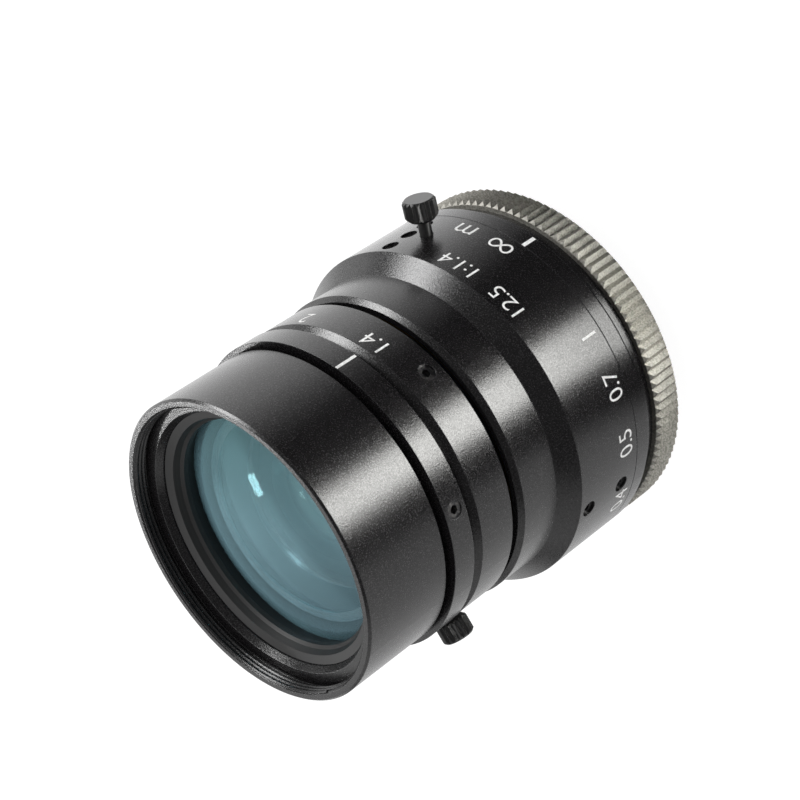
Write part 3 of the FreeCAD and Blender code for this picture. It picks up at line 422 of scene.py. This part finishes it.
# Towards the edge the barrel's wall hides the lights, so a painted reflection, a blue-green diffuse
# ring, is laid there, strongest on the side away from the deep azimuth.
PAINTED_EDGE_SHIFT = 4
PAINTED_EDGE_START = 12.4
PAINTED_EDGE_END = 17.0
PAINTED_EDGE_SHARE = 0.34
inward = tree.nodes.new("ShaderNodeVectorMath")
inward.operation = "DISTANCE"
inward.inputs[1].default_value = deep * PAINTED_EDGE_SHIFT * MM
tree.links.new(level_place.outputs["Vector"], inward.inputs[0])
edge = tree.nodes.new("ShaderNodeMapRange")
edge.inputs["From Min"].default_value = PAINTED_EDGE_START * MM
edge.inputs["From Max"].default_value = PAINTED_EDGE_END * MM
edge.inputs["To Max"].default_value = PAINTED_EDGE_SHARE
tree.links.new(inward.outputs["Value"], edge.inputs["Value"])
painted_edge_share = tree.nodes.new("ShaderNodeMath")
painted_edge_share.operation = "MULTIPLY"
tree.links.new(edge.outputs["Result"], painted_edge_share.inputs[0])
tree.links.new(seen_front.outputs["Value"], painted_edge_share.inputs[1])
# Painted reflection: a diffuse blue-green that stands in for the reflection the wall hides.
painted_edge_reflection = tree.nodes.new("ShaderNodeBsdfDiffuse")
painted_edge_reflection.inputs["Color"].default_value = (0.24, 0.43, 0.50, 1)
with_painted_edge = tree.nodes.new("ShaderNodeMixShader")
tree.links.new(painted_edge_share.outputs["Value"], with_painted_edge.inputs["Fac"])
tree.links.new(twice.outputs["Shader"], with_painted_edge.inputs[1])
tree.links.new(painted_edge_reflection.outputs["BSDF"], with_painted_edge.inputs[2])
tree.links.new(with_painted_edge.outputs["Shader"], output.inputs["Surface"])


# Filter thread: fine thread cut in the front barrel's mouth, 0.5 mm pitch.
# It is part of the barrel, so it carries the same black anodising.
FILTER_RADIUS = 17.45
FILTER_PITCH = 0.5
FILTER_TURNS = 2.9
STEPS = 144
SUNK = 0.02


def wind_ridge(foot, crest, height, foot_half, crest_half, pitch, steps):
    """Winds a ridge round the axis from its foot and crest radius; all sizes in millimetres."""
    mesh = bmesh.new()
    outline = [mesh.verts.new((radius * MM, 0, level * MM)) for radius, level in (
        (foot, height - foot_half), (crest, height - crest_half),
        (crest, height + crest_half), (foot, height + foot_half))]
    start = mesh.faces.new(outline)
    bmesh.ops.spin(mesh, geom=[start], axis=(0, 0, 1), angle=2 * math.pi * steps / STEPS, steps=steps,
                   dvec=(0, 0, pitch / STEPS * MM))
    return mesh


def fit(mesh, name, finish, body):
    """Turns a worked mesh into a piece that rides on a body."""
    bmesh.ops.recalc_face_normals(mesh, faces=mesh.faces)
    data = bpy.data.meshes.new(name)
    mesh.to_mesh(data)
    mesh.free()
    data.materials.append(finish)
    piece = bpy.data.objects.new(name, data)
    bpy.context.collection.objects.link(piece)
    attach(piece, body)


ridge = wind_ridge(foot=FILTER_RADIUS + SUNK, crest=FILTER_RADIUS - 0.16, height=47.32, foot_half=0.24,
                   crest_half=0.05, pitch=FILTER_PITCH, steps=int(FILTER_TURNS * STEPS))
fit(ridge, "filter_thread", anodised, "front")


# C-mount thread: 32 turns to the inch on the boss, cut in the same bright metal as the ring.
# Its crest fades out over a few degrees at both ends, as a thread run out by the tool does.
BOSS_RADIUS = 12.7
MOUNT_PITCH = 25.4 / 32
MOUNT_TURNS = 4
MOUNT_START = -3.45
CREST = 0.10
RUN_OUT = 30
turns = MOUNT_TURNS * STEPS
ridge = wind_ridge(foot=BOSS_RADIUS - SUNK, crest=BOSS_RADIUS + CREST, height=MOUNT_START,
                   foot_half=0.36, crest_half=0.07, pitch=MOUNT_PITCH, steps=turns)
for vert in ridge.verts:
    reach = vert.co.xy.length / MM
    if reach > BOSS_RADIUS:
        wound = (vert.co.z / MM - MOUNT_START) / MOUNT_PITCH * STEPS
        fade = max(0, min(1, wound / RUN_OUT, (turns - wound) / RUN_OUT))
        faded = (BOSS_RADIUS + CREST * fade) / reach
        vert.co.x *= faded
        vert.co.y *= faded
fit(ridge, "mount_thread", nickel, "mount")


# Paint of the dial marks: white enamel wiped into fine engraving and baked.
# It is slightly chalky and uneven, and stands a hair above the anodised surface.
PAINT_TOP = 0.012
PAINT_ROOT = -0.02
BEND_STEP = 0.3
paint, tree = new_finish("mark_paint")
chalk = mottle(tree, 2500, 4)
two_tones(tree, chalk, (0.62, 0.62, 0.61), (0.92, 0.92, 0.91), start=0.3, end=0.6)
sheen_between(tree, chalk, 0.45, 0.7)
fine_relief(tree, chalk, 0.3)


def wrap(mesh, radius, azimuth, height):
    """Bends flat marks in millimetres, X along the ring and Y along the axis, round a cylinder."""
    edge = min(vert.co.x for vert in mesh.verts)
    last = max(vert.co.x for vert in mesh.verts)
    while edge < last:
        everything = mesh.verts[:] + mesh.edges[:] + mesh.faces[:]
        bmesh.ops.bisect_plane(mesh, geom=everything, plane_co=(edge, 0, 0), plane_no=(1, 0, 0))
        edge += BEND_STEP
    for vert in mesh.verts:
        angle = math.radians(azimuth) + vert.co.x / radius
        lifted = radius + vert.co.z
        vert.co = Vector((lifted * math.cos(angle), lifted * math.sin(angle), height + vert.co.y)) * MM


def place(mesh, name, body):
    """Turns the bent marks into a painted piece that rides on a body."""
    bmesh.ops.remove_doubles(mesh, verts=mesh.verts, dist=0.0002 * MM)
    fit(mesh, name, paint, body)


def figures(text, cap_height, radius, azimuth, height):
    """A number from the plain built-in typeface, centred at an azimuth and bent round a cylinder."""
    curve = bpy.data.curves.new("figures", "FONT")
    curve.body = text
    curve.extrude = 0.01
    curve.offset = -0.006
    curve.space_character = 0.93
    curve.resolution_u = 5
    sample = bpy.data.objects.new("figures", curve)
    data = bpy.data.meshes.new_from_object(sample)
    bpy.data.objects.remove(sample)
    bpy.data.curves.remove(curve)
    mesh = bmesh.new()
    mesh.from_mesh(data)
    bpy.data.meshes.remove(data)
    low = Vector([min(vert.co[axis] for vert in mesh.verts) for axis in range(3)])
    high = Vector([max(vert.co[axis] for vert in mesh.verts) for axis in range(3)])
    middle = (high + low) / 2
    scale = cap_height / (high.y - low.y)
    for vert in mesh.verts:
        vert.co = Vector(((vert.co.x - middle.x) * scale, (vert.co.y - middle.y) * scale,
                          PAINT_TOP if vert.co.z > middle.z else PAINT_ROOT))
    wrap(mesh, radius, azimuth, height)
    return mesh


def stroke(length, width, radius, azimuth, height):
    """A straight mark along the axis."""
    mesh = bmesh.new()
    bmesh.ops.create_cube(mesh, size=1)
    for vert in mesh.verts:
        vert.co = Vector((vert.co.x * width, vert.co.y * length,
                          PAINT_TOP if vert.co.z > 0 else PAINT_ROOT))
    wrap(mesh, radius, azimuth, height)
    return mesh


# Aperture numbers on the iris ring, painted white. They are spaced as the blades close,
# so each stands at the index line when the opening has that number.
IRIS_RADIUS = 18.95
for text, azimuth in (("1.4", 94.5), ("2", 125.9), ("2.8", 145.2), ("4", 159.8), ("8", 178.0),
                      ("16", 188.2)):
    place(figures(text, cap_height=2.1, radius=IRIS_RADIUS, azimuth=azimuth, height=30.45),
          "aperture_" + text, "iris")


# Distance numbers on the focus ring, painted white: the distance in metres that is sharp when
# the number stands at the index line, and the letter m beside infinity.
FOCUS_RADIUS = 21.25
for text, azimuth in (("1", 55.4), ("0.7", 38.6), ("0.5", 18.9), ("0.4", -4.2), ("0.3", -36.0)):
    place(figures(text, cap_height=2.15, radius=FOCUS_RADIUS, azimuth=azimuth, height=10.15),
          "distance_" + text, "focus")
place(figures("m", cap_height=1.75, radius=FOCUS_RADIUS, azimuth=108.4, height=10.05),
      "distance_unit", "focus")


# Infinity mark on the focus ring: two joined loops painted with an even stroke.
# A flat ring is bent into them, then given its thickness.
LOOP_LENGTH = 2.75
LOOP_HEIGHT = 2.13
STROKE = 0.26


def on_loops(t):
    """A point of the two loops, which are drawn once while t makes a full turn."""
    bend = 1 + math.sin(t) ** 2
    return Vector((LOOP_LENGTH / 2 * math.cos(t) / bend, LOOP_HEIGHT * math.sin(t) * math.cos(t) / bend,
                   PAINT_ROOT))


mesh = bmesh.new()
bmesh.ops.create_circle(mesh, segments=64, radius=1)
outer_ring = mesh.verts[:]
bmesh.ops.extrude_edge_only(mesh, edges=mesh.edges[:])
for vert in mesh.verts:
    side = 0.5 if vert in outer_ring else -0.5
    t = math.atan2(vert.co.y, vert.co.x)
    here = on_loops(t)
    run = on_loops(t + 0.01) - here
    vert.co = here + Vector((-run.y, run.x, 0)).normalized() * STROKE * side
thick = bmesh.ops.extrude_face_region(mesh, geom=mesh.faces[:], use_keep_orig=True)
raised = [item for item in thick["geom"] if isinstance(item, bmesh.types.BMVert)]
bmesh.ops.translate(mesh, verts=raised, vec=(0, 0, PAINT_TOP - PAINT_ROOT))
wrap(mesh, FOCUS_RADIUS, azimuth=94.4, height=10.1)
place(mesh, "infinity_mark", "focus")


# Index lines, engraved and painted white: one on the fixed index ring for the iris, and one on
# the base barrel for the focus, which runs on over the band's chamfer.
INDEX_RADIUS = 19.1
CHAMFER_TOP = 6.25
place(stroke(length=2.9, width=0.37, radius=INDEX_RADIUS, azimuth=93.5, height=35.0),
      "iris_index_line", "front")
place(stroke(length=1.95, width=0.48, radius=FOCUS_RADIUS, azimuth=90.0, height=7.225),
      "focus_index_line", "mount")
mesh = stroke(length=0.36, width=0.48, radius=FOCUS_RADIUS, azimuth=90.0, height=6.08)
for vert in mesh.verts:
    narrowed = 1 - (CHAMFER_TOP - vert.co.z / MM) / FOCUS_RADIUS
    vert.co.x *= narrowed
    vert.co.y *= narrowed
place(mesh, "focus_index_end", "mount")


# Focal length and speed: plain white numbers on the focus ring's grip.
# They are engraved and painted like the distances, a little smaller.
place(figures("12.5   1:1.4", cap_height=2.05, radius=FOCUS_RADIUS, azimuth=88.0, height=16.1),
      "lens_numbers", "focus")


# Floor: a plain pale sheet that the lens stands on, white to the camera. In mirrored rays it glows
# with painted dark and pale sectors round the lens, so the barrel mirrors a painted dark stripe beside
# the strip light on each side of its bright band.
FLOOR_GREY = 0.8
MIRRORED_PALE_LEVEL = 0.85
MIRRORED_SHADE_STOPS = ((-90, 0.5), (8, 0.5), (21, 0.02), (104, 0.02), (118, 0.32), (140, 0.85))
mesh = bmesh.new()
bmesh.ops.create_grid(mesh, x_segments=1, y_segments=1, size=4)
data = bpy.data.meshes.new("floor")
mesh.to_mesh(data)
mesh.free()
floor = bpy.data.objects.new("floor", data)
floor.location = (0, 0, cad_box[0][2])
bpy.context.collection.objects.link(floor)
sheet, tree = new_finish("floor_sheet")
shader = tree.nodes["Principled BSDF"]
shader.inputs["Base Color"].default_value = (FLOOR_GREY, FLOOR_GREY, FLOOR_GREY, 1)
shader.inputs["Roughness"].default_value = 0.9
shader.inputs["Specular IOR Level"].default_value = 0.1
coords = tree.nodes.new("ShaderNodeTexCoord")
split = tree.nodes.new("ShaderNodeSeparateXYZ")
tree.links.new(coords.outputs["Object"], split.inputs["Vector"])
bearing = tree.nodes.new("ShaderNodeMath")
bearing.operation = "ARCTAN2"
tree.links.new(split.outputs["Y"], bearing.inputs[0])
tree.links.new(split.outputs["X"], bearing.inputs[1])
turn = tree.nodes.new("ShaderNodeMapRange")
turn.inputs["From Min"].default_value = -math.pi
turn.inputs["From Max"].default_value = math.pi
tree.links.new(bearing.outputs["Value"], turn.inputs["Value"])
# Painted reflection: dark and pale levels by bearing round the lens, seen only in mirrored rays, where
# they glow at twice their level.
painted_reflection_ramp = tree.nodes.new("ShaderNodeValToRGB")
stops = painted_reflection_ramp.color_ramp.elements
for stop in stops:
    stop.color = (MIRRORED_PALE_LEVEL, MIRRORED_PALE_LEVEL, MIRRORED_PALE_LEVEL, 1)
for azimuth, level in MIRRORED_SHADE_STOPS:
    stop = stops.new((azimuth + 180) / 360)
    stop.color = (level, level, level, 1)
tree.links.new(turn.outputs["Result"], painted_reflection_ramp.inputs["Fac"])
reflection_glow = tree.nodes.new("ShaderNodeVectorMath")
reflection_glow.operation = "SCALE"
reflection_glow.inputs["Scale"].default_value = 2.0
tree.links.new(painted_reflection_ramp.outputs["Color"], reflection_glow.inputs[0])
# What the camera sees is mostly plain white; the rest is the lit sheet with the lens's shadow. Mirrored
# rays see only the glowing painted reflection sectors.
path = tree.nodes.new("ShaderNodeLightPath")
shade = tree.nodes.new("ShaderNodeMix")
shade.data_type = "RGBA"
shade.inputs["B"].default_value = (1.15, 1.15, 1.15, 1)
tree.links.new(path.outputs["Is Camera Ray"], shade.inputs["Factor"])
tree.links.new(reflection_glow.outputs["Vector"], shade.inputs["A"])
glow = tree.nodes.new("ShaderNodeEmission")
tree.links.new(shade.outputs["Result"], glow.inputs["Color"])
straight = tree.nodes.new("ShaderNodeMath")
straight.operation = "MULTIPLY"
straight.inputs[1].default_value = 0.82
tree.links.new(path.outputs["Is Camera Ray"], straight.inputs[0])
shown = tree.nodes.new("ShaderNodeMath")
shown.operation = "MAXIMUM"
tree.links.new(straight.outputs["Value"], shown.inputs[0])
tree.links.new(path.outputs["Is Glossy Ray"], shown.inputs[1])
laid = tree.nodes.new("ShaderNodeMixShader")
tree.links.new(shown.outputs["Value"], laid.inputs["Fac"])
tree.links.new(shader.outputs["BSDF"], laid.inputs[1])
tree.links.new(glow.outputs["Emission"], laid.inputs[2])
tree.links.new(laid.outputs["Shader"], tree.nodes["Material Output"].inputs["Surface"])
sheet.cycles.emission_sampling = "NONE"
data.materials.append(sheet)


# Strip light: a flat glowing wedge on the floor, pointing at the lens from the camera's side.
# The turned surfaces mirror it as one bright band that runs the length of the lens.
STRIP_NEAR = 27
STRIP_FAR = 200
STRIP_SIDES = (40, 62)
STRIP_LIFT = 0.1
mesh = bmesh.new()
corners = []
for radius, azimuth in ((STRIP_NEAR, STRIP_SIDES[0]), (STRIP_FAR, STRIP_SIDES[0]),
                        (STRIP_FAR, STRIP_SIDES[1]), (STRIP_NEAR, STRIP_SIDES[1])):
    a = math.radians(azimuth)
    corners.append(mesh.verts.new((radius * math.cos(a) * MM, radius * math.sin(a) * MM,
                                   cad_box[0][2] + STRIP_LIFT * MM)))
mesh.faces.new(corners)
data = bpy.data.meshes.new("strip_light")
mesh.to_mesh(data)
mesh.free()
strip = bpy.data.objects.new("strip_light", data)
bpy.context.collection.objects.link(strip)
strip_glow, tree = new_finish("strip_light")
tree.nodes.remove(tree.nodes["Principled BSDF"])
glow = tree.nodes.new("ShaderNodeEmission")
glow.inputs["Color"].default_value = (1, 1, 0.97, 1)
path = tree.nodes.new("ShaderNodeLightPath")
coords = tree.nodes.new("ShaderNodeTexCoord")
away = tree.nodes.new("ShaderNodeVectorMath")
away.operation = "LENGTH"
tree.links.new(coords.outputs["Object"], away.inputs[0])
power = tree.nodes.new("ShaderNodeMapRange")
power.inputs["From Min"].default_value = 36 * MM
power.inputs["From Max"].default_value = 54 * MM
power.inputs["To Min"].default_value = 8.5
power.inputs["To Max"].default_value = 18
tree.links.new(away.outputs["Value"], power.inputs["Value"])
level = tree.nodes.new("ShaderNodeMix")
level.inputs["A"].default_value = 1
tree.links.new(power.outputs["Result"], level.inputs["B"])
tree.links.new(path.outputs["Is Glossy Ray"], level.inputs["Factor"])
tree.links.new(level.outputs["Result"], glow.inputs["Strength"])
tree.links.new(glow.outputs["Emission"], tree.nodes["Material Output"].inputs["Surface"])
strip_glow.cycles.emission_sampling = "NONE"
data.materials.append(strip_glow)
strip.visible_camera = False


# Studio light: soft boxes round the lens, a card at the left and a small lamp that shows in
# the front glass. Card and lamp are seen only as reflections, and the key light only as light.
LIT_HEIGHT = 24
target = Vector((0, 0, LIT_HEIGHT)) * MM
for name, azimuth, elevation, distance, width, height, radiance in (
        ("back_softbox", 238, 32, 0.50, 0.50, 0.50, 0.9),
        ("left_card", 152, 34, 0.50, 0.18, 0.18, 20),
        ("low_softbox", 192, 12, 0.45, 0.28, 0.16, 1.6),
        ("right_softbox", -50, 25, 0.50, 0.40, 0.30, 0.7),
        ("top_softbox", 239, 76, 0.60, 0.40, 0.40, 1.5),
        ("key_softbox", 100, 52, 0.60, 0.50, 0.50, 1.7),
        ("small_lamp", 230.5, 36.6, 0.45, 0.030, 0.026, 60)):
    light = bpy.data.lights.new(name, "AREA")
    light.shape = "RECTANGLE"
    light.size = width
    light.size_y = height
    light.energy = math.pi * width * height * radiance
    lamp = bpy.data.objects.new(name, light)
    a = math.radians(azimuth)
    e = math.radians(elevation)
    lamp.location = target + distance * Vector((math.cos(a) * math.cos(e), math.sin(a) * math.cos(e),
                                                math.sin(e)))
    lamp.rotation_euler = (target - lamp.location).to_track_quat("-Z", "Y").to_euler()
    lamp.visible_diffuse = name not in ("left_card", "small_lamp")
    lamp.visible_glossy = name != "key_softbox"
    bpy.context.collection.objects.link(lamp)


# Studio room: white walls to the camera, and an even pale light on the lens.
# Polished and clear surfaces see the room much darker, as between the lamps of a real studio.
ROOM_LIGHT = 0.68
ROOM_MIRRORED = 0.15
world = bpy.data.worlds.new("studio")
bpy.context.scene.world = world
world.use_nodes = True
tree = world.node_tree
background = tree.nodes["Background"]
background.inputs["Color"].default_value = (1, 1, 1, 1)
path = tree.nodes.new("ShaderNodeLightPath")
mirrored = tree.nodes.new("ShaderNodeMath")
mirrored.operation = "MAXIMUM"
tree.links.new(path.outputs["Is Glossy Ray"], mirrored.inputs[0])
tree.links.new(path.outputs["Is Transmission Ray"], mirrored.inputs[1])
dim = tree.nodes.new("ShaderNodeMix")
dim.inputs["A"].default_value = ROOM_LIGHT
dim.inputs["B"].default_value = ROOM_MIRRORED
tree.links.new(mirrored.outputs["Value"], dim.inputs["Factor"])
level = tree.nodes.new("ShaderNodeMix")
level.inputs["B"].default_value = 1.0
tree.links.new(path.outputs["Is Camera Ray"], level.inputs["Factor"])
tree.links.new(dim.outputs["Result"], level.inputs["A"])
tree.links.new(level.outputs["Result"], background.inputs["Strength"])
world.cycles.sampling_method = "NONE"


# Camera: the photograph's place and angle, rolled so that the lens lies across the frame.
# Its place is in metres, its focal length in millimetres on a sensor 36 mm wide.
CAMERA_PLACE = (0.098945, 0.173771, 0.162052)
FOCAL_LENGTH = 96.34
camera_data = bpy.data.cameras.new("camera")
camera_data.sensor_width = 36
camera_data.lens = FOCAL_LENGTH
camera_data.clip_start = 0.01
camera = bpy.data.objects.new("camera", camera_data)
forward = Vector((-0.41939, -0.70095, -0.57687))
up = Vector((-0.54674, 0.70232, -0.45588))
right = forward.cross(up).normalized()
up = right.cross(forward).normalized()
turn = Matrix((right, up, -forward.normalized())).transposed()
camera.matrix_world = Matrix.Translation(CAMERA_PLACE) @ turn.to_4x4()
bpy.context.collection.objects.link(camera)
bpy.context.scene.camera = camera
bpy.context.scene.view_settings.view_transform = "Standard"
